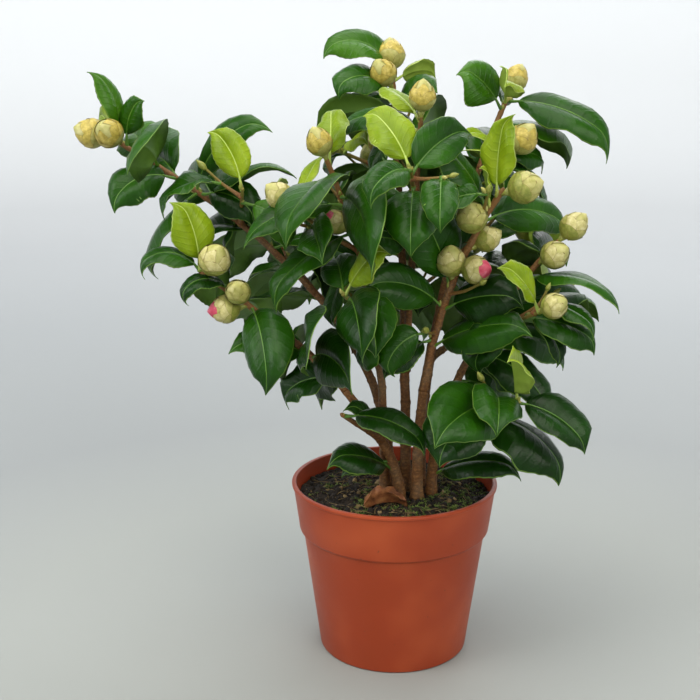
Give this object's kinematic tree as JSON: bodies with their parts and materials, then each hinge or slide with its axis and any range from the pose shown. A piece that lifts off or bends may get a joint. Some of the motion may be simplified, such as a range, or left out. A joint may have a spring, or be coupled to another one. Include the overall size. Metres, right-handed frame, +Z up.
{
  "type": "potted camellia shrub",
  "caption": "Young camellia shrub with glossy dark leaves and plump closed buds, in a round terracotta-coloured plastic nursery pot.",
  "frame": {"origin": "centre of the pot's flat underside", "axes": "+Z up from the pot's underside through the crown, -Y towards the plant's fuller face, +X to that face's right"},
  "size_m": [0.3042, 0.1944, 0.3581],
  "materials": {
    "pot_plastic": "satin",
    "peat": "matte",
    "bark": "matte",
    "foliage": "satin"
  },
  "bodies": {
    "root": {"pot": "pot_plastic", "root_ball": "peat", "stem_front": "bark", "stem_right": "bark", "stem_left": "bark", "stem_mid_left": "bark", "stem_back_left": "bark", "stem_back": "bark", "stem_back_right": "bark", "bough_low_right": "bark", "bough_low_front": "bark", "bough_low_back": "bark", "bough_side_back": "bark", "bough_middle": "bark", "bough_side_right": "bark", "foliage_front": "foliage", "foliage_right": "foliage", "foliage_left": "foliage", "foliage_mid_left": "foliage", "foliage_back_left": "foliage", "foliage_back": "foliage", "foliage_back_right": "foliage", "foliage_low_right": "foliage", "foliage_low_front": "foliage", "foliage_low_back": "foliage", "foliage_side_back": "foliage", "foliage_middle": "foliage", "foliage_side_right": "foliage"}
  },
  "joints": []
}
